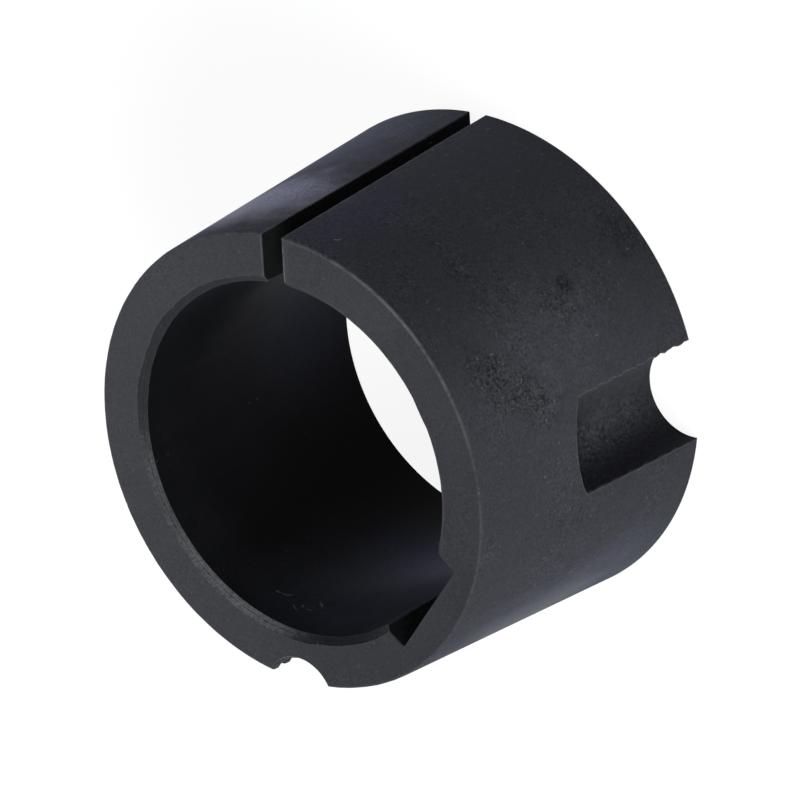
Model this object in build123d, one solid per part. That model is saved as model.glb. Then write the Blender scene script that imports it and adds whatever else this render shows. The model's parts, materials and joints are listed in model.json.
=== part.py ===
from build123d import *
import math
import os

# Split taper bush: one casting, turned, bored, slit through one wall, with three half-holes
# along its outside for the screws that work it in and out of a hub.
# Millimetres and degrees. The origin is the centre of the large end face, +Z runs along the
# bore to the small end face, and angles are measured about +Z from +X towards +Y.

# Bore
bore_diameter = 25.0
small_bore_chamfer = 0.5
large_bore_chamfer = 0.2

# Tapered body
length = 22.2                   # large end face to small end face
large_end_wall = 5.1            # bore to taper, at the large end face
taper_angle = 4.0               # each side of the axis
small_edge_round = 0.2          # where the taper meets the small end face
large_edge_chamfer = 0.1        # where the taper meets the large end face

# Saw slit through one wall, with one of its edges dressed by hand on the small end face
slit_angle = -90.0
slit_width = 1.3                # at the large end face
slit_spread = 0.35              # how much wider it has sprung open at the small end face
slit_bevel_width = 0.5
slit_bevel_drop = 0.12

# Shallow keyway
keyway_angle = 145.0
keyway_width = 8.0
keyway_depth = 1.3              # from the bore wall, on the keyway's centre line

# Half-holes, parallel to the bore and centred on one circle
screw_circle_inset = 0.5        # how far that circle lies inside the large end's edge
plain_hole_from_slit = 86.8     # a plain, blind half-hole this far to each side of the slit
plain_hole_diameter = 6.8
plain_hole_depth = 12.5         # large end face to the middle of the dished end
plain_hole_dish = 1.0           # how much deeper the end is at its middle than at its rim
jack_hole_from_slit = 179.4     # the threaded half-hole, right through the bush
jack_drill_diameter = 5.16

# Right-hand thread in the jacking half-hole, a quarter inch with 20 turns to the inch
thread_diameter = 6.35
thread_pitch = 1.27
thread_flank_angle = 30.0
thread_root_flat = 0.16         # width of a full groove's bottom
thread_start = 0.65             # height of the first groove on the wall nearest the bore
thread_fade_length = 6.0        # the tap's lead leaves shallow grooves at the small end
thread_fade_depth = 0.15        # how deep a groove is at the small end face
groove_half_sweep = 125.0       # each turn's cutter ends in the open, this far round both ways

# How far a cutter runs past the faces that it cuts
overrun = 2.0

bore_radius = bore_diameter / 2
large_end_radius = bore_radius + large_end_wall
small_end_radius = large_end_radius - length * math.tan(math.radians(taper_angle))
screw_circle_radius = large_end_radius - screw_circle_inset
jack_drill_radius = jack_drill_diameter / 2
outside = large_end_radius + overrun


def taper_body():
    """The turned ring, before anything is cut into it."""
    small_corner = (small_end_radius, length)
    large_corner = (large_end_radius, 0)
    section = make_face(
        Polyline(
            (bore_radius, large_bore_chamfer),
            (bore_radius + large_bore_chamfer, 0),
            large_corner,
            small_corner,
            (bore_radius + small_bore_chamfer, length),
            (bore_radius, length - small_bore_chamfer),
            close=True,
        )
    )
    section = fillet(section.vertices().sort_by_distance(small_corner)[0], small_edge_round)
    large_vertex = section.vertices().sort_by_distance(large_corner)[0]
    section = chamfer(large_vertex, large_edge_chamfer)
    return revolve(Plane.XZ * section, Axis.Z)


def keyway_cutter():
    """Block from the axis out to the keyway's floor, along +X and the whole length."""
    block = Box(
        bore_radius + keyway_depth,
        keyway_width,
        length + 2 * overrun,
        align=(Align.MIN, Align.CENTER, Align.MIN),
    )
    return Pos(0, 0, -overrun) * block


def slit_cutter():
    """Blade from the axis out through the wall along +X, with one side spread at the small end."""
    half = slit_width / 2
    spread_per_mm = slit_spread / length
    section = make_face(
        Polyline(
            (-half, -overrun),
            (half - spread_per_mm * overrun, -overrun),
            (half + slit_spread + spread_per_mm * overrun, length + overrun),
            (-half, length + overrun),
            close=True,
        )
    )
    return extrude(Plane.YZ * section, outside)


def slit_bevel():
    """Shallow wedge along the small end face, on one side of a slit that points along +X."""
    slope = slit_bevel_drop / slit_bevel_width
    inner = -slit_width / 2 - slit_bevel_width - overrun
    wedge = make_face(
        Polyline(
            (inner, length + slope * overrun),
            (0, length - slit_bevel_drop - slope * slit_width / 2),
            (0, length + overrun),
            (inner, length + overrun),
            close=True,
        )
    )
    return extrude(Plane.YZ * wedge, outside)


def plain_half_hole():
    """Blind round pocket about Z, open at the large end, with a dished end."""
    radius = plain_hole_diameter / 2
    rim = plain_hole_depth - plain_hole_dish
    dish_radius = (radius**2 + plain_hole_dish**2) / (2 * plain_hole_dish)
    dish = RadiusArc((radius, rim), (0, plain_hole_depth), dish_radius)
    walls = Polyline((0, plain_hole_depth), (0, -overrun), (radius, -overrun), (radius, rim))
    section = make_face(dish + walls)
    return revolve(Plane.XZ * section, Axis.Z)


def jack_half_hole():
    """Tapping drill about Z, through the whole bush."""
    drill = Cylinder(
        jack_drill_radius,
        length + 2 * overrun,
        align=(Align.CENTER, Align.CENTER, Align.MIN),
    )
    return Pos(0, 0, -overrun) * drill


def thread_groove(height):
    """One turn's groove about Z, open towards +X, this high on the wall that faces +X."""
    lip = jack_drill_radius - thread_pitch / 10
    faded = jack_drill_radius + thread_fade_depth
    fade = max(0, min(1, (length - height) / thread_fade_length))
    root = faded + (thread_diameter / 2 - faded) * fade
    flank = math.tan(math.radians(thread_flank_angle))
    half_root = thread_root_flat / 2 + (thread_diameter / 2 - root) * flank
    half_lip = half_root + (root - lip) * flank
    across = make_face(
        Polyline(
            (0, -half_lip),
            (root - lip, -half_root),
            (root - lip, half_root),
            (0, half_lip),
            close=True,
        )
    )
    rise = thread_pitch * groove_half_sweep / 360
    helix = Helix(thread_pitch, 2 * rise, lip)
    start = Plane(origin=helix @ 0, x_dir=(1, 0, 0), z_dir=helix % 0)
    groove = sweep(start * across, path=helix, is_frenet=True)
    return Pos(0, 0, height - rise) * Rot(0, 0, 180 - groove_half_sweep) * groove


def thread_grooves():
    """All turns from below the large end face to above the small end face."""
    first = -math.ceil(thread_start / thread_pitch) - 1
    last = math.ceil((length - thread_start) / thread_pitch) + 1
    return [thread_groove(thread_start + turn * thread_pitch) for turn in range(first, last + 1)]


def taper_bush():
    bush = taper_body()
    on_circle = Pos(screw_circle_radius, 0, 0)
    slit_turn = Rot(0, 0, slit_angle)
    jack_place = Rot(0, 0, slit_angle + jack_hole_from_slit) * on_circle
    cutters = [
        slit_turn * slit_cutter(),
        slit_turn * slit_bevel(),
        Rot(0, 0, keyway_angle) * keyway_cutter(),
        jack_place * jack_half_hole(),
    ]
    for side in (-1, 1):
        turn = Rot(0, 0, slit_angle + side * plain_hole_from_slit)
        cutters.append(turn * on_circle * plain_half_hole())
    for cutter in cutters:
        bush -= cutter
    return bush - [jack_place * groove for groove in thread_grooves()]


os.makedirs("parts", exist_ok=True)
bush = taper_bush()
export_step(bush, "parts/taper_bush.step")
print("solids", len(bush.solids()), "volume", round(bush.volume, 2), "mm3")
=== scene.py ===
import json
import math

import bpy
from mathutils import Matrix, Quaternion, Vector


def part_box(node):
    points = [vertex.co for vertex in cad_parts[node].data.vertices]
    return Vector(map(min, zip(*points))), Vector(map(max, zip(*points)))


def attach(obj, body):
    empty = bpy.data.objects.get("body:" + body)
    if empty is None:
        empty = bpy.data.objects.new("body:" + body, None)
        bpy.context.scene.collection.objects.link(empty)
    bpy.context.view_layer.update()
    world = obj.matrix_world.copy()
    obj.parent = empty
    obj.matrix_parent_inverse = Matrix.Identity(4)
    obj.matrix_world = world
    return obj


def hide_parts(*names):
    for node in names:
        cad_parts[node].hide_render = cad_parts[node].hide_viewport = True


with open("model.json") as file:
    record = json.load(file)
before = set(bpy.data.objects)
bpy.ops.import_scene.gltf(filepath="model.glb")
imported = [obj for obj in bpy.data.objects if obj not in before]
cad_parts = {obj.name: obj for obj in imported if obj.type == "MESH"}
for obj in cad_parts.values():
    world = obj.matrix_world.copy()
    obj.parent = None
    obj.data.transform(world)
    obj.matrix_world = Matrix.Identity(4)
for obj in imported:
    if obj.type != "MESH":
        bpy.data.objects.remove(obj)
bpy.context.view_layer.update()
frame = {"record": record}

print("frame loaded")

mm = 0.001
mounts = {mount["name"]: mount for mount in frame["record"]["mounts"]}
bushLow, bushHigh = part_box("taper_bush")


# Node helpers. A Wire is one output socket, and arithmetic on it strings Math nodes together.

class Wire:
    def __init__(self, tree, socket):
        self.tree = tree
        self.socket = socket

    def __add__(self, other):
        return maths(self.tree, "ADD", self, other)

    def __radd__(self, other):
        return maths(self.tree, "ADD", other, self)

    def __sub__(self, other):
        return maths(self.tree, "SUBTRACT", self, other)

    def __rsub__(self, other):
        return maths(self.tree, "SUBTRACT", other, self)

    def __mul__(self, other):
        return maths(self.tree, "MULTIPLY", self, other)

    def __rmul__(self, other):
        return maths(self.tree, "MULTIPLY", other, self)

    def __truediv__(self, other):
        return maths(self.tree, "DIVIDE", self, other)


def plug(tree, socket, value):
    if isinstance(value, Wire):
        value = value.socket
    if isinstance(value, bpy.types.NodeSocket):
        tree.links.new(value, socket)
    else:
        socket.default_value = value


def addNode(tree, kind, inputs=None, **settings):
    node = tree.nodes.new(kind)
    for name, value in settings.items():
        setattr(node, name, value)
    for name, value in (inputs or {}).items():
        plug(tree, node.inputs[name], value)
    return node


def output(tree, node, name=0):
    return Wire(tree, node.outputs[name])


def maths(tree, operation, *values):
    node = addNode(tree, "ShaderNodeMath", dict(enumerate(values)), operation=operation)
    return output(tree, node)


def vectorMaths(tree, operation, inputs, name="Vector"):
    node = addNode(tree, "ShaderNodeVectorMath", inputs, operation=operation)
    return output(tree, node, name)


def eased(tree, value, low, high):
    # 0 below low and 1 above high, smooth between; with low above high it runs the other way
    node = addNode(tree, "ShaderNodeMapRange", {"Value": value, "From Min": low, "From Max": high},
                   interpolation_type="SMOOTHSTEP")
    return output(tree, node)


def splitVector(tree, vector):
    node = addNode(tree, "ShaderNodeSeparateXYZ", {0: vector})
    return [output(tree, node, axis) for axis in range(3)]


def joinVector(tree, x, y, z):
    return output(tree, addNode(tree, "ShaderNodeCombineXYZ", {0: x, 1: y, 2: z}))


def noise(tree, vector, scale, detail=2.0, roughness=0.5):
    node = addNode(tree, "ShaderNodeTexNoise",
                   {"Vector": vector, "Scale": scale, "Detail": detail, "Roughness": roughness})
    return output(tree, node, "Fac")


# Geometry Nodes helpers

def wholeNumber(tree, operation, a, b):
    return output(tree, addNode(tree, "FunctionNodeIntegerMath", {0: a, 1: b}, operation=operation))


def pick(tree, index, values):
    # the value that stands at this index of the list
    node = tree.nodes.new("GeometryNodeIndexSwitch")
    node.data_type = "FLOAT"
    while len(node.index_switch_items) < len(values):
        node.index_switch_items.new()
    plug(tree, node.inputs[0], index)
    for slot, value in enumerate(values):
        plug(tree, node.inputs[slot + 1], value)
    return output(tree, node)


def setPosition(tree, mesh, position):
    return output(tree, addNode(tree, "GeometryNodeSetPosition", {"Geometry": mesh, "Position": position}))


def push(tree, mesh, direction, distance):
    # moves the points along a direction by this many millimetres
    offset = vectorMaths(tree, "SCALE", {0: direction, "Scale": distance})
    return output(tree, addNode(tree, "GeometryNodeSetPosition", {"Geometry": mesh, "Offset": offset}))


def shift(tree, mesh, offset):
    return output(tree, addNode(tree, "GeometryNodeTransform", {0: mesh, "Translation": offset}))


def turn(tree, mesh, degrees):
    rotation = joinVector(tree, 0.0, 0.0, maths(tree, "RADIANS", degrees))
    return output(tree, addNode(tree, "GeometryNodeTransform", {0: mesh, "Rotation": rotation}))


def coordinates(tree):
    # a point's position as one vector, and then its three parts
    position = output(tree, tree.nodes.new("GeometryNodeInputPosition"))
    return position, *splitVector(tree, position)


def pastTaper(tree, size, x, y, z):
    # how far a point lies outside the taper, level with it
    return maths(tree, "SQRT", x * x + y * y) - (size["Large End Radius"] - size["Slope"] * z)


def blankPrism(tree, sides, levels):
    # a prism whose corners are numbered round it, counterclockwise, and whose levels count from the top
    block = addNode(tree, "GeometryNodeMeshCylinder", {"Vertices": sides, "Side Segments": levels - 1})
    index = output(tree, tree.nodes.new("GeometryNodeInputIndex"))
    corner = wholeNumber(tree, "MODULO", index, sides)
    level = wholeNumber(tree, "DIVIDE_FLOOR", index, sides)
    return output(tree, block), corner, level


def finished(tree, mesh, number):
    # marks the faces, so that they find their material after the cuts
    node = addNode(tree, "GeometryNodeStoreNamedAttribute", {0: mesh, "Name": "finish", "Value": number},
                   data_type="INT", domain="FACE")
    return output(tree, node)


def cutFinish(tree, size, cutter, name):
    # the wall that a cutter leaves has its own finish, and the bevels it leaves have that of the outside
    edge = size["Edge Break"]
    x, y, z = coordinates(tree)[1:]
    isTaper = maths(tree, "GREATER_THAN", pastTaper(tree, size, x, y, z), 0.0 - edge)
    isEnd = maths(tree, "GREATER_THAN", maths(tree, "MAXIMUM", 0.0 - z, z - size["Length"]), 0.0 - edge)
    inside = (1.0 - isTaper) * (1.0 - isEnd)
    number = inside * finishNames.index(name) + isEnd * finishNames.index("facedEnd")
    return finished(tree, cutter, number + isTaper * (1.0 - isEnd) * finishNames.index("turnedTaper"))


# The bush. Its size comes from the frame, and the rest is in millimetres and degrees.

finishNames = ["turnedTaper", "facedEnd", "boredWall", "boreChamfer", "sawnSlit", "broachedKeyway",
               "drilledHole", "tappedHole"]

bush = {
    "Length": (bushHigh.z - bushLow.z) / mm,
    "Large End Radius": mounts["taper_seat"]["dims"]["r_mm"],
    "Taper Angle": 4.0,
    "Bore Radius": mounts["bore"]["dims"]["r_mm"],
    "Small End Round": 0.2,
    "Large End Chamfer": 0.1,
    "Small Bore Chamfer": 0.5,
    "Large Bore Chamfer": 0.2,
    "Chamfer Wander": 0.3,
    "Edge Break": 0.09,             # width of the small bevel on every cut edge
    "Rim Wear": 0.03,               # how deep the rims are worn, at most
    "Slit Width": 1.3,
    "Slit Spread": 0.35,            # wider by this at the small end
    "Slit Raggedness": 0.16,        # of its edge on the taper, on the side that has sprung
    "Slit Bevel Width": 0.5,
    "Slit Bevel Drop": 0.12,
    "Slit Bevel Unevenness": 0.08,
    "Keyway Angle": 145.0,
    "Keyway Width": 8.0,
    "Keyway Depth": 1.3,
    "Keyway Corner": 0.15,
    "Screw Circle Radius": 17.1,
    "Plain Hole Angle": 86.8,       # to each side of the slit
    "Plain Hole Radius": mounts["plain_half_hole_left"]["dims"]["r_mm"],
    "Plain Hole Rim": 11.5,
    "Plain Hole Dish": 1.0,
    "Plain Hole Grain": 0.035,
    "Plain Hole Lobes": 0.16,       # depth of the bites along the edge nearer the slit
    "Jack Hole Angle": 179.4,       # from the slit
    "Jack Drill Radius": mounts["jack_half_hole"]["dims"]["r_mm"],
    "Thread Radius": 3.175,
    "Thread Pitch": 1.27,
    "Thread Start": 0.65,
    "Thread Root Flat": 0.16,
    "Thread Fade Length": 6.0,
    "Thread Fade Depth": 0.15,
    "Thread Grain": 0.02,
}
slitAngle = -90.0
threadFlankAngle = 30.0
overrun = 0.5                       # how far the cutters run past what they cut
ringSegments = 720
holeSegments = 200
cornerSteps = 4                     # faces round each small rounded corner
sharpAngle = 32.0                   # edges that fold more than this are shaded sharp
weldDistance = 0.0005               # closes the tiny edges that the cuts leave


def turnedRing(tree, size):
    # the section goes round the bore's circle; its y runs downwards
    bore = size["Bore Radius"]
    length = size["Length"]
    smallRadius = size["Small End Radius"]
    largeRadius = size["Large End Radius"]
    edgeRound = size["Small End Round"]
    support = 0.03                  # a narrow band beside each corner keeps its shading crisp
    section = [
        (bore, length - size["Small Bore Chamfer"]),
        (bore + size["Small Bore Chamfer"], length),
        (bore + size["Small Bore Chamfer"] + support, length),
        (smallRadius - edgeRound - support, length),
    ]
    for step in range(cornerSteps + 1):
        angle = math.radians(90.0 * step / cornerSteps)
        section.append((smallRadius - edgeRound * (1.0 - math.sin(angle)),
                        length - edgeRound * (1.0 - math.cos(angle))))
    slope = size["Slope"]
    section += [
        (smallRadius + slope * (edgeRound + support), length - edgeRound - support),
        (largeRadius - slope * (size["Large End Chamfer"] + support), size["Large End Chamfer"] + support),
        (largeRadius - slope * size["Large End Chamfer"], size["Large End Chamfer"]),
        (largeRadius - size["Large End Chamfer"], 0.0),
        (bore + size["Large Bore Chamfer"], 0.0),
        (bore, size["Large Bore Chamfer"]),
        (bore, size["Large Bore Chamfer"] + support),
        (bore, length - size["Small Bore Chamfer"] - support),
    ]
    outline = addNode(tree, "GeometryNodeCurvePrimitiveCircle", {"Resolution": len(section)})
    corner = output(tree, tree.nodes.new("GeometryNodeInputIndex"))
    across = pick(tree, corner, [radius - bore for radius, height in section])
    down = pick(tree, corner, [0.0 - height for radius, height in section])
    outline = setPosition(tree, output(tree, outline), joinVector(tree, across, down, 0.0))
    path = addNode(tree, "GeometryNodeCurvePrimitiveCircle", {"Resolution": ringSegments, "Radius": bore})
    ring = addNode(tree, "GeometryNodeCurveToMesh", {"Curve": path.outputs[0], "Profile Curve": outline})
    ring = output(tree, ring)

    # faces know their finish by how much they face along the axis
    endShare = 0.95
    slantShare = 0.3
    normal = output(tree, tree.nodes.new("GeometryNodeInputNormal"))
    position, x, y, z = coordinates(tree)
    nx, ny, nz = splitVector(tree, normal)
    facesEnd = maths(tree, "GREATER_THAN", maths(tree, "ABSOLUTE", nz), endShare)
    facesAxis = maths(tree, "LESS_THAN", x * nx + y * ny, 0.0)
    slanted = maths(tree, "GREATER_THAN", maths(tree, "ABSOLUTE", nz), slantShare)
    inside = facesAxis * (1.0 - facesEnd)
    finish = facesEnd * finishNames.index("facedEnd")
    finish = finish + inside * (1.0 - slanted) * finishNames.index("boredWall")
    finish = finish + inside * slanted * finishNames.index("boreChamfer")
    ring = finished(tree, ring, finish)

    # handling has worn the rims a little, never the flats between them
    unwornDepth, wornDepth = 0.65, 0.45             # below the small end face
    unwornReach, wornReach = 0.65, 0.55             # outside the bore
    taperFade = 0.1                                 # inside the round of the taper's rim
    radius = maths(tree, "SQRT", x * x + y * y)
    nearSmallEnd = eased(tree, z, length - unwornDepth, length - wornDepth)
    nearBore = eased(tree, radius, bore + unwornReach, bore + wornReach)
    nearTaper = eased(tree, radius, smallRadius - edgeRound - taperFade, smallRadius - edgeRound)
    lumps = noise(tree, position, 0.9, detail=3.0, roughness=0.6) * 1.6
    dents = noise(tree, position, 4.0, detail=1.0) * 0.6
    untouched = 0.6                                 # up to here the rim is as it was turned
    wear = maths(tree, "MAXIMUM", lumps + dents - untouched, 0.0)
    wear = wear * nearSmallEnd * maths(tree, "MAXIMUM", nearBore, nearTaper) * size["Rim Wear"]
    ring = push(tree, ring, normal, 0.0 - wear)

    # the bore's chamfer was cut by hand, so its outer edge wanders
    farFromLip, nearLip = 0.08, 0.04
    farFromFace, nearFace = 0.06, 0.02
    fromLip = maths(tree, "ABSOLUTE", radius - bore - size["Small Bore Chamfer"])
    atLip = eased(tree, fromLip, farFromLip, nearLip)
    atFace = eased(tree, z, length - farFromFace, length - nearFace)
    wander = (noise(tree, position, 0.42) - 0.5) * (atLip * atFace) * size["Chamfer Wander"]
    outwards = vectorMaths(tree, "NORMALIZE", {0: joinVector(tree, x, y, 0.0)})
    return push(tree, ring, outwards, wander)


def slitBlade(tree, size):
    # faces -Y; its eight corners flare where it breaks out of the bore and the taper
    edge = size["Edge Break"]
    flare = edge + overrun
    levels = 90
    blade, corner, level = blankPrism(tree, 8, levels)
    side = pick(tree, corner, [1.0, -1.0, -1.0, -1.0, -1.0, 1.0, 1.0, 1.0])
    flareX = pick(tree, corner, [flare, flare, 0.0, 0.0, flare, flare, 0.0, 0.0])
    outer = pick(tree, corner, [0.0, 0.0, 0.0, 1.0, 1.0, 1.0, 1.0, 0.0])
    reach = pick(tree, corner, [-overrun, -overrun, edge, 0.0 - edge, overrun, overrun, 0.0 - edge, edge])
    step = (size["Length"] - 2.0 * edge) / (levels - 3)
    above = maths(tree, "LESS_THAN", level, 0.5)
    below = maths(tree, "GREATER_THAN", level, levels - 1.5)
    z = size["Length"] - edge - (level - 1.0) * step + (above - below) * (overrun + edge - step)
    flareEnd = (above + below) * flare
    taperRadius = size["Large End Radius"] - size["Slope"] * z
    radius = size["Bore Radius"] + (taperRadius - size["Bore Radius"]) * outer + reach
    isSprung = maths(tree, "GREATER_THAN", side, 0.0)
    spread = isSprung * size["Slit Spread"] * z / size["Length"]
    unlike = 7.0                    # so far apart the two sides are in the noise
    firm = 0.3                      # share of the raggedness that the other side keeps
    ragged = noise(tree, joinVector(tree, side * unlike, 0.0, z), 1.7, detail=3.0, roughness=0.7) - 0.5
    ragged = ragged * outer * (firm + (1.0 - firm) * isSprung) * size["Slit Raggedness"]
    x = side * (size["Slit Width"] * 0.5 + flareX + flareEnd + ragged) + spread
    blade = setPosition(tree, blade, joinVector(tree, x, 0.0 - radius, z))
    return cutFinish(tree, size, blade, "sawnSlit")


def slitBevel(tree, size):
    # shallow wedge along the slit's -X side, on the small end face, a little uneven as filed by hand
    levels = 40
    spare = 1.0                     # how far the wedge runs past the bore, the taper and the face
    wedge, corner, level = blankPrism(tree, 4, levels)
    half = size["Slit Width"] * 0.5
    drop = size["Slit Bevel Drop"]
    slope = drop / size["Slit Bevel Width"]
    inner = 0.0 - half - size["Slit Bevel Width"] - overrun
    x = pick(tree, corner, [inner, 0.0, 0.0, inner])
    length = size["Length"]
    top = length + spare
    z = pick(tree, corner, [length + slope * overrun, length - drop - slope * half, top, top])
    start = size["Bore Radius"] - spare
    step = (size["Small End Radius"] + spare - start) / (levels - 1)
    out = start + level * step
    isLower = pick(tree, corner, [1.0, 1.0, 0.0, 0.0])
    uneven = (noise(tree, joinVector(tree, 0.0, out, 0.0), 1.5) - 0.5) * isLower
    z = z + uneven * size["Slit Bevel Unevenness"]
    wedge = setPosition(tree, wedge, joinVector(tree, x, 0.0 - out, z))
    flipped = output(tree, addNode(tree, "GeometryNodeFlipFaces", {0: wedge}))
    return finished(tree, flipped, finishNames.index("facedEnd"))


def keywayBlock(tree, size):
    # points along +X from inside the bore, then turns to its angle
    edge = size["Edge Break"]
    flare = edge + overrun
    half = size["Keyway Width"] * 0.5
    bore = size["Bore Radius"]
    mouth = maths(tree, "SQRT", bore * bore - half * half)
    floor = bore + size["Keyway Depth"]
    fillet = size["Keyway Corner"]
    oneSide = [(mouth - overrun, 0.0 - half - flare), (mouth + edge, 0.0 - half)]
    for step in range(cornerSteps + 1):
        angle = math.radians(90.0 * step / cornerSteps)
        oneSide.append((floor - fillet * (1.0 - math.sin(angle)), fillet * (1.0 - math.cos(angle)) - half))
    otherSide = [(x, 0.0 - y) for x, y in reversed(oneSide)]
    section = oneSide + otherSide
    heights = [size["Length"] + overrun, size["Length"] - edge, edge, -overrun]
    block, corner, level = blankPrism(tree, len(section), len(heights))
    flareEnd = pick(tree, level, [flare, 0.0, 0.0, flare])
    x = pick(tree, corner, [deep for deep, aside in section])
    y = pick(tree, corner, [aside for deep, aside in section])
    side = pick(tree, corner, [-1.0] * len(oneSide) + [1.0] * len(otherSide))
    deeper = maths(tree, "GREATER_THAN", x, floor - fillet * 2.0) * flareEnd
    z = pick(tree, level, heights)
    block = setPosition(tree, block, joinVector(tree, x + deeper, y + side * flareEnd, z))
    return cutFinish(tree, size, turn(tree, block, size["Keyway Angle"]), "broachedKeyway")


def brokenEdges(tree, size, cutter, centreX):
    # spreads a round cutter where it leaves the taper and the ends, which bevels the edges that it cuts
    edge = size["Edge Break"]
    widest = 3.0                    # times the edge's width
    x, y, z = coordinates(tree)[1:]
    outside = pastTaper(tree, size, x, y, z) + edge
    pastLargeEnd = edge - z
    pastSmallEnd = z - size["Length"] + edge
    spread = maths(tree, "MAXIMUM", maths(tree, "MAXIMUM", outside, pastLargeEnd), pastSmallEnd)
    spread = maths(tree, "MINIMUM", maths(tree, "MAXIMUM", spread, 0.0), edge * widest)
    away = vectorMaths(tree, "NORMALIZE", {0: joinVector(tree, x - centreX, y, 0.0)})
    return push(tree, cutter, away, spread)


def plainHalfHole(tree, size, side):
    # side is 1 where the slit lies counterclockwise of the hole, and -1 on the other hole
    radius = size["Plain Hole Radius"]
    rim = size["Plain Hole Rim"]
    dish = size["Plain Hole Dish"]
    circle = size["Screw Circle Radius"]
    depth = rim + overrun
    hair = 0.001                    # finds the points of the end's disc
    drill = addNode(tree, "GeometryNodeMeshCylinder",
                    {"Vertices": holeSegments, "Side Segments": 110, "Fill Segments": 26,
                     "Radius": radius, "Depth": depth})
    drill = shift(tree, output(tree, drill), joinVector(tree, circle, 0.0, rim - depth * 0.5))
    position, x, y, z = coordinates(tree)
    fromCentre = maths(tree, "SQRT", (x - circle) * (x - circle) + y * y)
    dishRadius = (radius * radius + dish * dish) / (dish * 2.0)
    bulge = maths(tree, "SQRT", dishRadius * dishRadius - fromCentre * fromCentre) - dishRadius + dish
    isTop = maths(tree, "GREATER_THAN", z, rim - hair)
    drill = setPosition(tree, drill, joinVector(tree, x, y, z + bulge * isTop))

    # bites along the edge nearer the slit, one to each turn of the screw that runs in the other half
    inHole, atWall = 0.8, 0.98      # shares of the radius, towards that edge
    inBush, atTaper = 1.6, 0.3      # inside the screw circle
    waveShare, raggedShare = 0.7, 0.6
    out = vectorMaths(tree, "NORMALIZE", {0: joinVector(tree, x - circle, y, 0.0)})
    wander = noise(tree, joinVector(tree, 0.0, 0.0, z), 0.6, detail=1.0) * 2.0
    wave = maths(tree, "SINE", (z / size["Thread Pitch"] + wander) * math.tau) * 0.5 + 0.5
    ragged = noise(tree, position, 2.2, detail=3.0, roughness=0.65)
    nearEdge = eased(tree, y * side, radius * inHole, radius * atWall)
    nearEdge = nearEdge * eased(tree, x, circle - inBush, circle - atTaper)
    bites = (wave * waveShare + ragged * raggedShare) * nearEdge * size["Plain Hole Lobes"]
    grain = noise(tree, position, 3.2, detail=3.0, roughness=0.7) * size["Plain Hole Grain"]
    drill = push(tree, drill, out, bites + grain)
    drill = brokenEdges(tree, size, drill, circle)
    drill = turn(tree, drill, slitAngle - side * size["Plain Hole Angle"])
    return cutFinish(tree, size, drill, "drilledHole")


def jackHalfHole(tree, size):
    # a drill whose wall follows the thread's form: height on the wall grows with the angle about the hole
    circle = size["Screw Circle Radius"]
    length = size["Length"]
    pitch = size["Thread Pitch"]
    drillRadius = size["Jack Drill Radius"]
    tap = addNode(tree, "GeometryNodeMeshCylinder",
                  {"Vertices": holeSegments, "Side Segments": 300, "Radius": 1.0,
                   "Depth": length + 2.0 * overrun})
    tap = shift(tree, output(tree, tap), joinVector(tree, 0.0, 0.0, length * 0.5))
    position, x, y, z = coordinates(tree)
    angle = maths(tree, "ARCTAN2", y, x)
    height = size["Thread Start"] + pitch * (angle / math.tau - 0.5)
    fromGroove = maths(tree, "ABSOLUTE", maths(tree, "FRACT", (z - height) / pitch + 0.5) - 0.5) * pitch
    fade = maths(tree, "MINIMUM", maths(tree, "MAXIMUM", (length - z) / size["Thread Fade Length"], 0.0), 1.0)
    shallow = drillRadius + size["Thread Fade Depth"]
    root = shallow + (size["Thread Radius"] - shallow) * fade
    flank = math.tan(math.radians(threadFlankAngle))
    halfRoot = size["Thread Root Flat"] * 0.5 + (size["Thread Radius"] - root) * flank
    upFlank = maths(tree, "MAXIMUM", fromGroove - halfRoot, 0.0) / flank
    grain = noise(tree, position, 3.0) * size["Thread Grain"]
    radius = maths(tree, "MAXIMUM", drillRadius, root - upFlank) + grain
    tap = setPosition(tree, tap, joinVector(tree, x * radius + circle, y * radius, z))
    tap = brokenEdges(tree, size, tap, circle)
    return cutFinish(tree, size, turn(tree, tap, slitAngle + size["Jack Hole Angle"]), "tappedHole")


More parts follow.
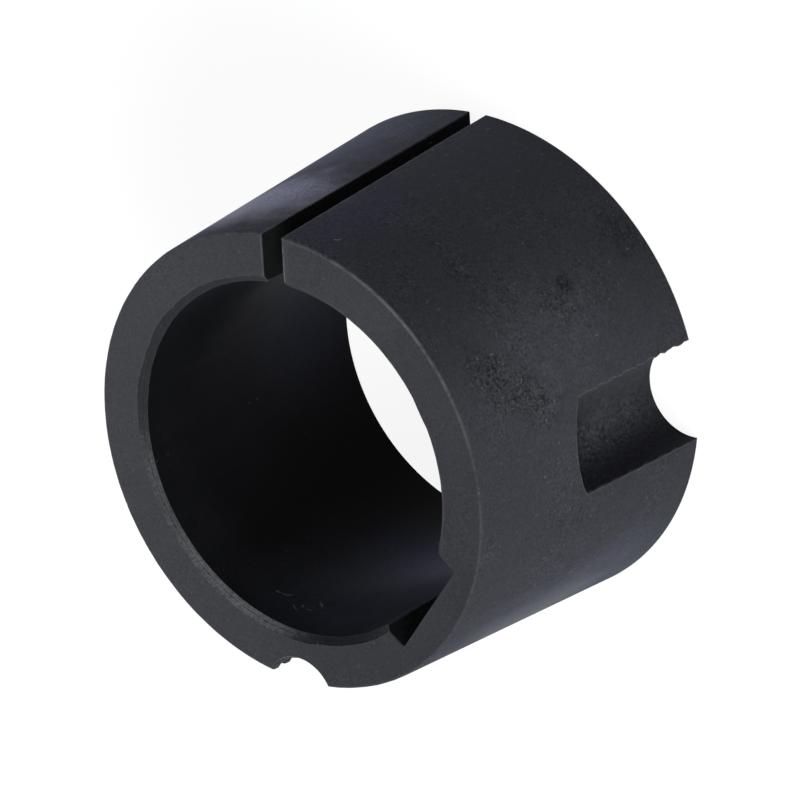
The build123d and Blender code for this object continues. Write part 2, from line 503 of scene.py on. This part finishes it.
def bushTree(finishes):
    tree = bpy.data.node_groups.new("taper bush", "GeometryNodeTree")
    for name in bush:
        tree.interface.new_socket(name, in_out="INPUT", socket_type="NodeSocketFloat")
    tree.interface.new_socket("Geometry", in_out="OUTPUT", socket_type="NodeSocketGeometry")
    entry = tree.nodes.new("NodeGroupInput")
    size = {name: output(tree, entry, name) for name in bush}
    size["Slope"] = maths(tree, "TANGENT", maths(tree, "RADIANS", size["Taper Angle"]))
    size["Small End Radius"] = size["Large End Radius"] - size["Slope"] * size["Length"]

    cut = addNode(tree, "GeometryNodeMeshBoolean", {"Mesh 1": turnedRing(tree, size)},
                  operation="DIFFERENCE", solver="MANIFOLD")
    cutters = [
        slitBlade(tree, size),
        slitBevel(tree, size),
        keywayBlock(tree, size),
        plainHalfHole(tree, size, 1.0),
        plainHalfHole(tree, size, -1.0),
        jackHalfHole(tree, size),
    ]
    for cutter in cutters:
        plug(tree, cut.inputs["Mesh 2"], cutter)
    solid = addNode(tree, "GeometryNodeMergeByDistance", {0: cut.outputs[0], "Distance": weldDistance})
    solid = addNode(tree, "GeometryNodeSetShadeSmooth", {0: solid.outputs[0], "Shade Smooth": True})
    fold = output(tree, tree.nodes.new("GeometryNodeInputMeshEdgeAngle"))
    isSharp = maths(tree, "GREATER_THAN", fold, math.radians(sharpAngle))
    solid = addNode(tree, "GeometryNodeSetShadeSmooth",
                    {0: solid.outputs[0], "Selection": isSharp, "Shade Smooth": False}, domain="EDGE")
    solid = addNode(tree, "GeometryNodeTransform", {0: solid.outputs[0], "Scale": (mm, mm, mm)})
    solid = addNode(tree, "GeometryNodeRealizeInstances", {0: solid.outputs[0]})
    finish = addNode(tree, "GeometryNodeInputNamedAttribute", {"Name": "finish"}, data_type="INT").outputs[0]
    for number, name in enumerate(finishNames):
        chosen = addNode(tree, "FunctionNodeCompare", {2: finish, 3: number},
                         data_type="INT", operation="EQUAL")
        solid = addNode(tree, "GeometryNodeSetMaterial",
                        {0: solid.outputs[0], "Selection": chosen.outputs[0], "Material": finishes[name]})
    end = tree.nodes.new("NodeGroupOutput")
    plug(tree, end.inputs[0], solid.outputs[0])
    return tree


def makeBush(finishes):
    tree = bushTree(finishes)
    holder = bpy.data.objects.new("taperBush", bpy.data.meshes.new("taperBush"))
    bpy.context.scene.collection.objects.link(holder)
    modifier = holder.modifiers.new("taper bush", "NODES")
    modifier.node_group = tree
    for socket in tree.interface.items_tree:
        if socket.in_out == "INPUT":
            modifier[socket.identifier] = float(bush[socket.name])
    made = holder.evaluated_get(bpy.context.evaluated_depsgraph_get())
    mesh = bpy.data.meshes.new_from_object(made)
    mesh.materials.pop(index=0)     # the empty slot that the cut leaves first
    holder.modifiers.remove(modifier)
    holder.data = mesh
    mesh.name = "taperBush"
    return holder


# Finishes. Black oxide throughout, on metal that was turned, sawn, broached or drilled; some of their colours
# and spots are painted light, shade, highlights and sheen. Lengths in these dictionaries are millimetres,
# and the nodes read Object coordinates.

smallEndRadius = bush["Large End Radius"] - math.tan(math.radians(bush["Taper Angle"])) * bush["Length"]


def fromAxis(tree, point):
    x, y, z = splitVector(tree, point)
    return maths(tree, "SQRT", x * x + y * y)


def alongAxis(tree, point):
    return splitVector(tree, point)[2]


def fromSawCentre(tree, point):
    # the saw's teeth swing about a centre far out on the slit's side
    sawReach = 25.0
    x, y, z = splitVector(tree, point)
    dy = y + bush["Large End Radius"] + sawReach
    dz = z - bush["Length"] * 0.5
    return maths(tree, "SQRT", dy * dy + dz * dz)


def acrossKeyway(tree, point):
    # the broach's marks run along the keyway, on its floor and on its walls
    lean = 0.37
    x, y, z = splitVector(tree, point)
    angle = math.radians(bush["Keyway Angle"])
    return y * math.cos(angle) - x * math.sin(angle) + (x * math.cos(angle) + y * math.sin(angle)) * lean


def onRound(radius, angle, height):
    a = math.radians(angle)
    return Vector((radius * math.cos(a), radius * math.sin(a), height))


def onTaper(angle, height):
    slope = math.tan(math.radians(bush["Taper Angle"]))
    return onRound(bush["Large End Radius"] - slope * height, angle, height)


def onBore(angle, height):
    return onRound(bush["Bore Radius"], angle, height)


def spotAt(centre, reach, lumps=1.2, ragged=1.0, **effects):
    # a place with its own look, real or painted light and shade: how far it reaches each way, the size of its
    # edge's lumps, how ragged it is
    return {"centre": centre, "reach": reach, "lumps": lumps, "ragged": ragged, **effects}


def nearSpot(tree, point, spot):
    # 1 in the middle of a spot, 0 past its ragged edge
    edge, core = 1.0, 0.2           # shares of the spot's reach
    away = vectorMaths(tree, "SUBTRACT", {0: point, 1: spot["centre"]})
    away = vectorMaths(tree, "DIVIDE", {0: away, 1: spot["reach"]})
    distance = vectorMaths(tree, "LENGTH", {0: away}, "Value")
    ragged = noise(tree, point, 1.0 / spot["lumps"], detail=3.0, roughness=0.6) - 0.5
    return eased(tree, distance + ragged * spot["ragged"], edge, core)


def specks(tree, point, spacing, size, share, squeeze, tilt):
    # lint, bright grains and nicks: small balls in a loose lattice, of which the surface cuts a few
    core = 0.4                      # share of a speck that is at full strength
    point = addNode(tree, "ShaderNodeVectorRotate", {"Vector": point, "Rotation": tilt},
                    rotation_type="EULER_XYZ")
    point = vectorMaths(tree, "MULTIPLY", {0: point.outputs[0], 1: squeeze})
    cells = addNode(tree, "ShaderNodeTexVoronoi", {"Vector": point, "Scale": 1.0 / spacing})
    chance = output(tree, addNode(tree, "ShaderNodeSeparateColor", {0: cells.outputs["Color"]}))
    chosen = maths(tree, "LESS_THAN", chance, share)
    distance = output(tree, cells, "Distance")
    return eased(tree, distance, size / spacing, size * core / spacing) * chosen


def scratch(tree, point, start, finish, width):
    # a light line from start to finish, a little bent and broken
    bend = 0.7                      # how far the noise pushes the line, its middle being half of that
    gap, whole = 0.15, 0.4          # the noise at which the line is broken, and at which it isn't
    core = 0.3                      # share of the width that is at full strength
    line = finish - start
    swirl = addNode(tree, "ShaderNodeTexNoise", {"Vector": point, "Scale": 1.1, "Detail": 1.0})
    point = vectorMaths(tree, "MULTIPLY_ADD", {0: swirl.outputs["Color"], 1: (bend, bend, bend), 2: point})
    start = start + Vector((bend / 2, bend / 2, bend / 2))
    offset = vectorMaths(tree, "SUBTRACT", {0: point, 1: start})
    along = vectorMaths(tree, "DOT_PRODUCT", {0: offset, 1: line / line.length_squared}, "Value")
    along = maths(tree, "MINIMUM", maths(tree, "MAXIMUM", along, 0.0), 1.0)
    foot = vectorMaths(tree, "SCALE", {0: line, "Scale": along})
    distance = vectorMaths(tree, "LENGTH", {0: vectorMaths(tree, "SUBTRACT", {0: offset, 1: foot})}, "Value")
    broken = eased(tree, noise(tree, point, 3.5), gap, whole)
    return eased(tree, distance, width, width * core) * broken


# Lines of wear and painted highlight: a line is clear within the second distance from its edge, and gone past
# the first
lightLines = {
    "rim": (0.24, 0.1),
    "rimSpot": spotAt(onTaper(-125.0, bush["Length"]), (13.0, 13.0, 13.0), lumps=4.0, ragged=0.6),
    "rimElsewhere": 0.2,            # its strength outside that spot
    "slit": (0.13, 0.04),
    "slitInset": 0.05,
    "slitStrength": 0.8,
}


def wearAndHighlightLines(tree, point):
    # the small end's rim, partly wear and partly a painted highlight, brightest between the slit and the
    # plain half-hole, and the slit's dressed edge with its painted highlight
    x, y, z = splitVector(tree, point)
    out = fromAxis(tree, point) - smallEndRadius
    up = z - bush["Length"]
    elsewhere = lightLines["rimElsewhere"]
    rimLine = eased(tree, maths(tree, "SQRT", out * out + up * up), *lightLines["rim"])
    rimLine = rimLine * (elsewhere + nearSpot(tree, point, lightLines["rimSpot"]) * (1.0 - elsewhere))
    fromSlit = maths(tree, "ABSOLUTE", x + bush["Slit Width"] / 2 + lightLines["slitInset"])
    slitLine = eased(tree, fromSlit, *lightLines["slit"]) * maths(tree, "LESS_THAN", y, 0.0)
    return maths(tree, "MAXIMUM", rimLine, slitLine * lightLines["slitStrength"])


def mixColours(tree, share, first, second):
    node = addNode(tree, "ShaderNodeMix", {0: share, 6: first, 7: second}, data_type="RGBA")
    return output(tree, node, 2)


def blackOxide(name, settings):
    material = bpy.data.materials.new(name)
    material.use_nodes = True
    tree = material.node_tree
    tree.nodes.clear()
    objectPoint = tree.nodes.new("ShaderNodeTexCoord").outputs["Object"]
    point = vectorMaths(tree, "SCALE", {0: objectPoint, "Scale": 1 / mm})

    grain = noise(tree, point, 1.0 / settings["grain"], detail=3.0, roughness=0.6) - 0.5
    cloud = noise(tree, point, 1.0 / settings["cloud"], detail=3.0, roughness=0.55) - 0.5
    mottle = noise(tree, point, 1.0 / settings["mottle"], roughness=0.6) - 0.5
    run = joinVector(tree, settings["marksRun"](tree, point), 0.0, 0.0)
    marks = noise(tree, run, 1.0 / settings["marks"], roughness=0.6) - 0.5

    # worn edges: where the surface bends within a short distance, and the lines of wear and painted highlight
    edges = addNode(tree, "ShaderNodeBevel", {"Radius": settings["edge"] * mm}, samples=8).outputs[0]
    normal = tree.nodes.new("ShaderNodeNewGeometry").outputs["Normal"]
    square = vectorMaths(tree, "DOT_PRODUCT", {0: edges, 1: normal}, "Value")
    wearAndHighlight = eased(tree, square, *settings["edgeBend"]) * settings["edgeWear"]
    wearAndHighlight = maths(tree, "MAXIMUM", wearAndHighlight, wearAndHighlightLines(tree, point) * settings["lineWear"])
    patchy = noise(tree, point, settings["wearPatches"], detail=3.0, roughness=0.6)
    wearAndHighlight = wearAndHighlight * eased(tree, patchy, *settings["wearBetween"])

    # spots: where the skin is darker, paler, bluer, grainier, smoother or brighter; many of them paint light,
    # shade, highlights and sheen
    effects = {"dark": 0.0, "pale": 0.0, "blue": 0.0, "grainy": 0.0, "smooth": 0.0, "bright": 0.0}
    for spot in settings["spots"]:
        near = nearSpot(tree, point, spot)
        for effect in effects:
            if effect in spot:
                effects[effect] = effects[effect] + near * spot[effect]
    streaks = settings["bright"] + grain * settings["brightGrain"] + marks * settings["brightMarks"]
    wearAndHighlight = maths(tree, "MAXIMUM", wearAndHighlight, effects["bright"] * streaks)

    # crowded small glints where the grain is coarse, and single specks anywhere
    coarse = eased(tree, noise(tree, point, settings["coarsePatches"]), *settings["coarseBetween"])
    coarse = coarse * settings["glints"] + effects["grainy"]
    coarse = maths(tree, "MINIMUM", coarse, settings["coarseLimit"])
    glint = noise(tree, point, 1.0 / settings["glintSize"], roughness=0.55)
    glint = eased(tree, glint, *settings["glintBetween"]) * coarse
    gain = settings["coarseGain"]
    light = 0.0
    for share, squeeze, tilt in settings["specks"]:
        found = specks(tree, point, settings["speckSpacing"], settings["speckSize"], share, squeeze, tilt)
        found = found * settings["speckStrength"] * (1.0 - gain + coarse * gain)
        light = maths(tree, "MAXIMUM", light, found)
    for line in settings["scratches"]:
        light = maths(tree, "MAXIMUM", light, scratch(tree, point, *line) * settings["scratchStrength"])

    tone = 1.0 + cloud * settings["cloudStrength"] + marks * settings["marksStrength"] - effects["dark"]
    tone = tone + grain * settings["grainStrength"] * (1.0 + coarse) + glint
    tone = tone + mottle * settings["mottleStrength"] * (0.5 + coarse)
    tone = maths(tree, "MAXIMUM", tone, settings["darkestTone"]) * (1.0 + effects["pale"])
    tinted = [channel + effects["blue"] * channel * change
              for channel, change in zip(settings["colour"], settings["tint"])]
    base = vectorMaths(tree, "SCALE", {0: joinVector(tree, *tinted), "Scale": tone})
    base = mixColours(tree, wearAndHighlight, base, settings["edgeColour"])
    base = mixColours(tree, light, base, settings["fleckColour"])
    height = grain * (1.0 + settings["grainyHeight"] * effects["grainy"]) + marks * settings["marksHeight"]
    bump = addNode(tree, "ShaderNodeBump",
                   {"Strength": settings["bump"], "Distance": settings["bumpDepth"] * mm, "Height": height})
    roughness = settings["roughness"] + cloud * settings["cloudRoughness"]
    roughness = roughness - effects["smooth"] - wearAndHighlight * settings["wornSmoothness"]
    shader = addNode(tree, "ShaderNodeBsdfPrincipled",
                     {"Base Color": base, "Specular IOR Level": settings["gloss"],
                      "Sheen Weight": settings["sheen"], "Sheen Roughness": settings["sheenRoughness"],
                      "Sheen Tint": settings["sheenTint"],
                      "Roughness": roughness, "Normal": bump.outputs[0]})
    end = tree.nodes.new("ShaderNodeOutputMaterial")
    plug(tree, end.inputs["Surface"], shader.outputs[0])
    return material


oxide = {
    "colour": (0.042, 0.043, 0.049),
    "tint": (-0.03, -0.1, 0.28),    # what a blue spot adds to each channel, as a share of it
    "darkestTone": 0.3,
    "cloud": 5.0,                   # sizes of the unevenness in the skin, the largest first
    "cloudStrength": 0.25,
    "mottle": 0.8,
    "mottleStrength": 0.35,
    "grain": 0.22,
    "grainStrength": 0.9,
    "coarsePatches": 0.22,          # to the millimetre; they set in between the next two noise levels
    "coarseBetween": (0.4, 0.65),
    "coarseLimit": 2.3,
    "coarseGain": 0.3,              # share of a speck's strength that depends on the coarseness
    "glintSize": 0.16,
    "glintBetween": (0.6, 0.75),
    "glints": 1.0,
    "marksRun": alongAxis,          # the tool's marks: which way they follow each other, and how closely
    "marks": 0.12,
    "marksStrength": 0.12,
    "marksHeight": 0.3,
    "edge": 0.15,                   # worn edges: within this of a bend, from nearly flat to sharp
    "edgeBend": (0.997, 0.93),
    "edgeWear": 0.75,
    "edgeColour": (0.14, 0.14, 0.148, 1.0),
    "lineWear": 0.0,
    "wearPatches": 1.3,
    "wearBetween": (0.25, 0.6),
    "bright": 0.95,                 # a bright spot's middle level, and how much grain and marks break it up
    "brightGrain": 2.6,
    "brightMarks": 2.6,
    "speckSpacing": 1.1,
    "speckSize": 0.13,
    "specks": [                     # how many, squeeze and tilt: dots, then lint that lies three ways
        (0.12, (1.0, 1.0, 1.0), (0.0, 0.0, 0.0)),
        (0.4, (2.0, 2.0, 0.45), (0.0, 0.0, 0.0)),
        (0.4, (2.0, 2.0, 0.45), (0.9, 0.3, 0.0)),
        (0.4, (2.0, 2.0, 0.45), (-0.5, 1.2, 0.4)),
    ],
    "speckStrength": 0.26,
    "scratchStrength": 0.5,
    "fleckColour": (0.3, 0.3, 0.3, 1.0),
    "spots": [],
    "scratches": [],                # start, finish and width
    "bump": 0.5,
    "bumpDepth": 0.03,
    "grainyHeight": 2.0,            # how much higher the grain stands on a grainy spot
    "gloss": 0.08,
    "roughness": 0.75,
    "cloudRoughness": 0.12,
    "wornSmoothness": 0.2,
    "sheen": 0.1,
    "sheenRoughness": 0.35,
    "sheenTint": (0.7, 0.82, 1.0, 1.0),
}
finishes = {
    "turnedTaper": blackOxide("turnedTaper", {
        **oxide,
        "lineWear": 0.8,
        "gloss": 0.06,
        "sheen": 0.22,
        "sheenTint": (0.6, 0.7, 1.0, 1.0),
        "spots": [
            spotAt(onTaper(-148.0, 18.9), (2.2, 2.2, 1.9), lumps=0.9, dark=0.2, grainy=1.5),
            spotAt(onTaper(-154.0, 17.8), (2.6, 2.6, 2.4), lumps=0.9, dark=0.12, grainy=1.8),
            spotAt(onTaper(-159.5, 15.8), (2.4, 2.8, 2.2), lumps=0.9, dark=0.15, grainy=1.8),
            spotAt(onTaper(-163.5, 14.5), (1.8, 2.0, 1.8), lumps=0.9, dark=0.1, grainy=1.4),
            spotAt(onTaper(-126.0, 15.6), (1.4, 1.4, 1.3), lumps=0.7, dark=0.1, grainy=1.2),
            spotAt(onTaper(-142.0, 10.0), (1.6, 1.6, 1.9), lumps=0.7, dark=0.1, grainy=1.2),
            spotAt(onTaper(-141.0, 8.6), (1.2, 1.2, 1.2), ragged=0.5, dark=0.4, grainy=0.6),
            spotAt(onTaper(-147.0, 12.0), (6.0, 6.0, 6.0), lumps=2.0, pale=0.22, grainy=0.8),
            spotAt(onTaper(-137.0, 1.5), (3.0, 3.0, 2.5), dark=0.3, grainy=0.5),
            # painted light and shade: paler round -162 degrees and darker round -121, deepening the shading
            # across the taper
            spotAt(onTaper(-162.0, 11.0), (9.0, 9.0, 18.0), lumps=4.0, ragged=0.4, pale=0.26),
            spotAt(onTaper(-121.0, 17.5), (7.0, 7.0, 8.0), lumps=3.0, ragged=0.6, dark=0.13),
            # painted highlight: paler and bluish beside the slit where the taper catches a reflection, and
            # its fainter glow below; the first is also smoother
            spotAt(onTaper(-70.0, 16.0), (7.5, 7.5, 6.2), lumps=1.6, ragged=0.7, smooth=0.3, pale=3.6,
                   blue=0.5),
            spotAt(onTaper(-64.0, 6.0), (9.0, 9.0, 11.0), lumps=1.8, ragged=0.9, pale=0.8, blue=0.4),
            # painted sheen: bluish, and paler lower down, along the far edge of the taper; the first is also
            # smoother
            spotAt(onTaper(-226.0, 11.5), (6.0, 6.0, 12.0), lumps=1.8, ragged=0.8, smooth=0.3, blue=0.35),
            spotAt(onTaper(-213.0, 5.5), (3.0, 3.0, 6.0), lumps=1.5, ragged=0.8, pale=0.25, blue=0.3),
            # painted sheen: a bluish band beside the slit
            spotAt(onTaper(-100.0, 16.0), (2.5, 2.5, 9.0), lumps=3.0, ragged=0.5, blue=0.5),
        ],
        "scratches": [
            (onTaper(-101.0, 20.6), onTaper(-103.5, 19.9), 0.08),
        ],
    }),
    "facedEnd": blackOxide("facedEnd", {
        **oxide,
        "colour": (0.034, 0.035, 0.0395),
        "edgeWear": 0.3,
        "lineWear": 0.8,
        "marksRun": fromAxis,
        "marks": 0.2,
        "speckStrength": 0.12,
        "spots": [
            # painted light and shade: darker over the half toward the keyway and the jack hole, paler on
            # either side of the slit
            spotAt((-11.0, 9.0, 22.0), (19.0, 17.0, 19.0), lumps=6.0, ragged=0.4, dark=0.16),
            spotAt((-7.5, -12.5, 22.0), (5.0, 4.0, 4.0), lumps=2.0, ragged=0.6, pale=0.12),
            spotAt((9.0, -11.5, 22.0), (9.0, 8.0, 8.0), lumps=3.0, ragged=0.5, pale=0.07),
        ],
        "glints": 0.5,
        "bump": 0.3,
        "roughness": 0.45,
    }),
    "boreChamfer": blackOxide("boreChamfer", {
        **oxide,
        "colour": (0.024, 0.0247, 0.028),
        "edgeWear": 0.3,
        "marksRun": fromAxis,
        "marks": 0.09,
        "marksStrength": 1.1,
        "spots": [
            spotAt((8.0, 10.0, 22.0), (5.5, 5.5, 3.0), lumps=0.9, ragged=0.5, bright=0.58),
            spotAt((12.0, 4.5, 22.0), (4.5, 5.5, 3.0), lumps=1.6, ragged=0.9, bright=0.35),
            spotAt((3.3, 12.3, 22.0), (4.5, 2.5, 3.0), lumps=0.6, ragged=0.9, bright=0.55),
            spotAt((-4.0, 12.3, 22.0), (6.0, 3.0, 3.0), ragged=0.5, dark=0.6),
        ],
    }),
    "boredWall": blackOxide("boredWall", {
        **oxide,
        # very dark, which paints the shade deep in the bore; the pale and blue spots below paint the bluish
        # glow and reflections where light reaches the wall
        "colour": (0.0055, 0.0056, 0.0064),
        "tint": (-0.1, -0.06, 0.3),
        "spots": [
            spotAt(onBore(92.0, 11.0), (11.0, 8.0, 15.0), lumps=4.0, ragged=0.3, pale=6.0, blue=0.7),
            spotAt(onBore(88.0, 7.0), (6.5, 6.5, 6.5), lumps=1.6, ragged=0.6, pale=5.5, blue=0.7),
            spotAt(onBore(-12.0, 4.0), (9.0, 10.0, 9.0), lumps=4.0, ragged=0.3, pale=1.3, blue=1.0),
            spotAt(onBore(70.0, 20.8), (14.0, 14.0, 6.0), lumps=3.0, ragged=0.4, pale=1.3),
            spotAt((0.0, 0.0, 21.7), (60.0, 60.0, 6.0), lumps=3.0, ragged=0.4, pale=0.4),
        ],
        "glints": 0.2,
        "specks": [(0.15, (1.0, 1.0, 1.0), (0.0, 0.0, 0.0))],
        "speckStrength": 0.12,
        "gloss": 0.02,
        "roughness": 0.3,
        "sheen": 0.05,
        "bump": 0.15,
        "scratches": [
            (onBore(69.0, 19.0), onBore(74.0, 18.4), 0.09),
            (onBore(76.0, 18.6), onBore(79.5, 18.9), 0.09),
            (onBore(79.0, 18.3), onBore(83.0, 18.7), 0.09),
            (onBore(81.0, 19.2), onBore(84.5, 19.0), 0.09),
            (onBore(82.0, 17.8), onBore(85.0, 18.2), 0.09),
            (onBore(78.0, 17.9), onBore(81.0, 17.5), 0.08),
            (onBore(77.0, 19.3), onBore(80.0, 19.7), 0.08),
        ],
    }),
    "sawnSlit": blackOxide("sawnSlit", {
        **oxide,
        # much darker than the other oxide, which paints the shade inside the narrow slit
        "colour": (0.0085, 0.0087, 0.008),
        "marksRun": fromSawCentre,
        "marks": 0.25,
        "marksStrength": 0.6,
        "gloss": 0.03,
    }),
    "broachedKeyway": blackOxide("broachedKeyway", {
        **oxide,
        "colour": (0.016, 0.0162, 0.018),
        "marksRun": acrossKeyway,
        "gloss": 0.03,
    }),
    "drilledHole": blackOxide("drilledHole", {
        **oxide,
        "colour": (0.04, 0.041, 0.046),
        "spots": [
            # painted light and shade: paler on the wall nearer the slit, which faces the light, darker and
            # bluer on the shaded wall across; the middle spot is coarser grain, a little paler
            spotAt((-16.0, -4.0, 7.0), (2.5, 2.2, 12.0), ragged=0.6, pale=0.7),
            spotAt((-14.0, 0.6, 7.0), (2.4, 2.2, 12.0), pale=0.3, grainy=1.4),
            spotAt((-15.6, 2.2, 7.0), (2.4, 2.4, 12.0), ragged=0.6, dark=0.3, blue=0.4),
        ],
        "grain": 0.3,
        "grainStrength": 1.1,
        "glintSize": 0.2,
        "glints": 0.3,
        "gloss": 0.03,
        "bump": 0.8,
    }),
    "tappedHole": blackOxide("tappedHole", {
        **oxide,
        "gloss": 0.03,
    }),
}
print("finishes made")

taperBush = makeBush(finishes)
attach(taperBush, "root")
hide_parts("taper_bush")
print("bush made:", len(taperBush.data.polygons), "faces")


# Floor, world, lamps and camera

studio = {
    "floorSize": 4.0,
    "floorColour": (0.5, 0.5, 0.5, 1.0),
    "glow": 0.9,                    # what a viewed floor shows of plain white
    "shade": 0.16,                  # and of its lit and shadowed self
    "mirroredGlow": 0.8,            # the same two for a floor that is seen mirrored in the metal
    "mirroredShade": 0.3,
    "worldLevel": 0.04,
}


def rayIs(tree, *kinds):
    # 1 for these kinds of ray
    path = tree.nodes.new("ShaderNodeLightPath")
    total = 0.0
    for kind in kinds:
        total = total + Wire(tree, path.outputs["Is %s Ray" % kind])
    return maths(tree, "MINIMUM", total, 1.0)


def makeFloor():
    half = studio["floorSize"] / 2
    corners = [(-half, -half, 0), (half, -half, 0), (half, half, 0), (-half, half, 0)]
    mesh = bpy.data.meshes.new("floor")
    mesh.from_pydata(corners, [], [(0, 1, 2, 3)])
    floor = bpy.data.objects.new("floor", mesh)
    bpy.context.scene.collection.objects.link(floor)
    material = bpy.data.materials.new("paleFloor")
    material.use_nodes = True
    tree = material.node_tree
    tree.nodes.clear()
    plain = addNode(tree, "ShaderNodeBsdfDiffuse", {"Color": studio["floorColour"]})
    seen = rayIs(tree, "Camera", "Transmission")
    glow = studio["mirroredGlow"] + (studio["glow"] - studio["mirroredGlow"]) * seen
    lit = studio["mirroredShade"] + (studio["shade"] - studio["mirroredShade"]) * seen
    shade = addNode(tree, "ShaderNodeBsdfDiffuse", {"Color": joinVector(tree, lit, lit, lit)})
    glow = addNode(tree, "ShaderNodeEmission", {"Color": (1.0, 1.0, 1.0, 1.0), "Strength": glow})
    white = addNode(tree, "ShaderNodeAddShader", {0: shade.outputs[0], 1: glow.outputs[0]})
    seen = rayIs(tree, "Camera", "Glossy", "Transmission")
    mix = addNode(tree, "ShaderNodeMixShader", {0: seen, 1: plain.outputs[0], 2: white.outputs[0]})
    end = tree.nodes.new("ShaderNodeOutputMaterial")
    plug(tree, end.inputs["Surface"], mix.outputs[0])
    mesh.materials.append(material)
    return floor


def makeWorld():
    world = bpy.data.worlds.new("paleRoom")
    world.use_nodes = True
    tree = world.node_tree
    tree.nodes.clear()
    seen = rayIs(tree, "Camera", "Glossy", "Transmission")
    strength = studio["worldLevel"] + (1.0 - studio["worldLevel"]) * seen
    background = addNode(tree, "ShaderNodeBackground", {"Color": (1.0, 1.0, 1.0, 1.0), "Strength": strength})
    end = tree.nodes.new("ShaderNodeOutputWorld")
    plug(tree, end.inputs["Surface"], background.outputs[0])
    bpy.context.scene.world = world


def directionTo(azimuth, elevation):
    a, e = math.radians(azimuth), math.radians(elevation)
    return Vector((math.cos(e) * math.cos(a), math.cos(e) * math.sin(a), math.sin(e)))


middle = Vector((0.0, 0.0, bushHigh.z / 2))

softBoxes = {
    "keyBox": {"azimuth": 153.0, "elevation": 45.0, "distance": 0.5, "size": 0.25, "power": 2.5,
               "colour": (0.95, 0.975, 1.0)},
    "coolBox": {"azimuth": -40.0, "elevation": 44.0, "distance": 0.35, "size": 0.15, "power": 0.46,
                "colour": (0.88, 0.9, 1.0)},
    "faceBox": {"azimuth": 22.0, "elevation": 36.0, "distance": 0.3, "size": 0.08, "power": 0.1,
                "colour": (0.95, 0.975, 1.0)},
}


def makeSoftBoxes():
    for name, box in softBoxes.items():
        light = bpy.data.lights.new(name, "AREA")
        light.shape = "SQUARE"
        light.size = box["size"]
        light.energy = box["power"]
        light.color = box["colour"]
        lamp = bpy.data.objects.new(name, light)
        direction = directionTo(box["azimuth"], box["elevation"])
        lamp.location = middle + direction * box["distance"]
        lamp.rotation_euler = direction.to_track_quat("Z", "Y").to_euler()
        bpy.context.scene.collection.objects.link(lamp)


# The photograph's view: where the camera stands, seen from the point that it aims at, and its roll
photoView = {
    "aim": Vector((-0.398, -0.386, 10.568)) * mm,
    "azimuth": -146.554,
    "elevation": 45.632,
    "distance": 352.865 * mm,
    "roll": -118.488,
    "lens": 235.334,
    "sensor": 36.0,
}


def makeCamera():
    data = bpy.data.cameras.new("photoCamera")
    data.sensor_width = photoView["sensor"]
    data.lens = photoView["lens"]
    data.clip_start, data.clip_end = 0.01, 10.0
    camera = bpy.data.objects.new("photoCamera", data)
    back = directionTo(photoView["azimuth"], photoView["elevation"])
    camera.location = photoView["aim"] + back * photoView["distance"]
    level = (-back).to_track_quat("-Z", "Y")
    camera.rotation_mode = "QUATERNION"
    camera.rotation_quaternion = level @ Quaternion((0.0, 0.0, 1.0), math.radians(photoView["roll"]))
    bpy.context.scene.collection.objects.link(camera)
    bpy.context.scene.camera = camera


makeFloor()
makeWorld()
makeSoftBoxes()
makeCamera()
bpy.context.scene.view_settings.view_transform = "Standard"
print("studio set")
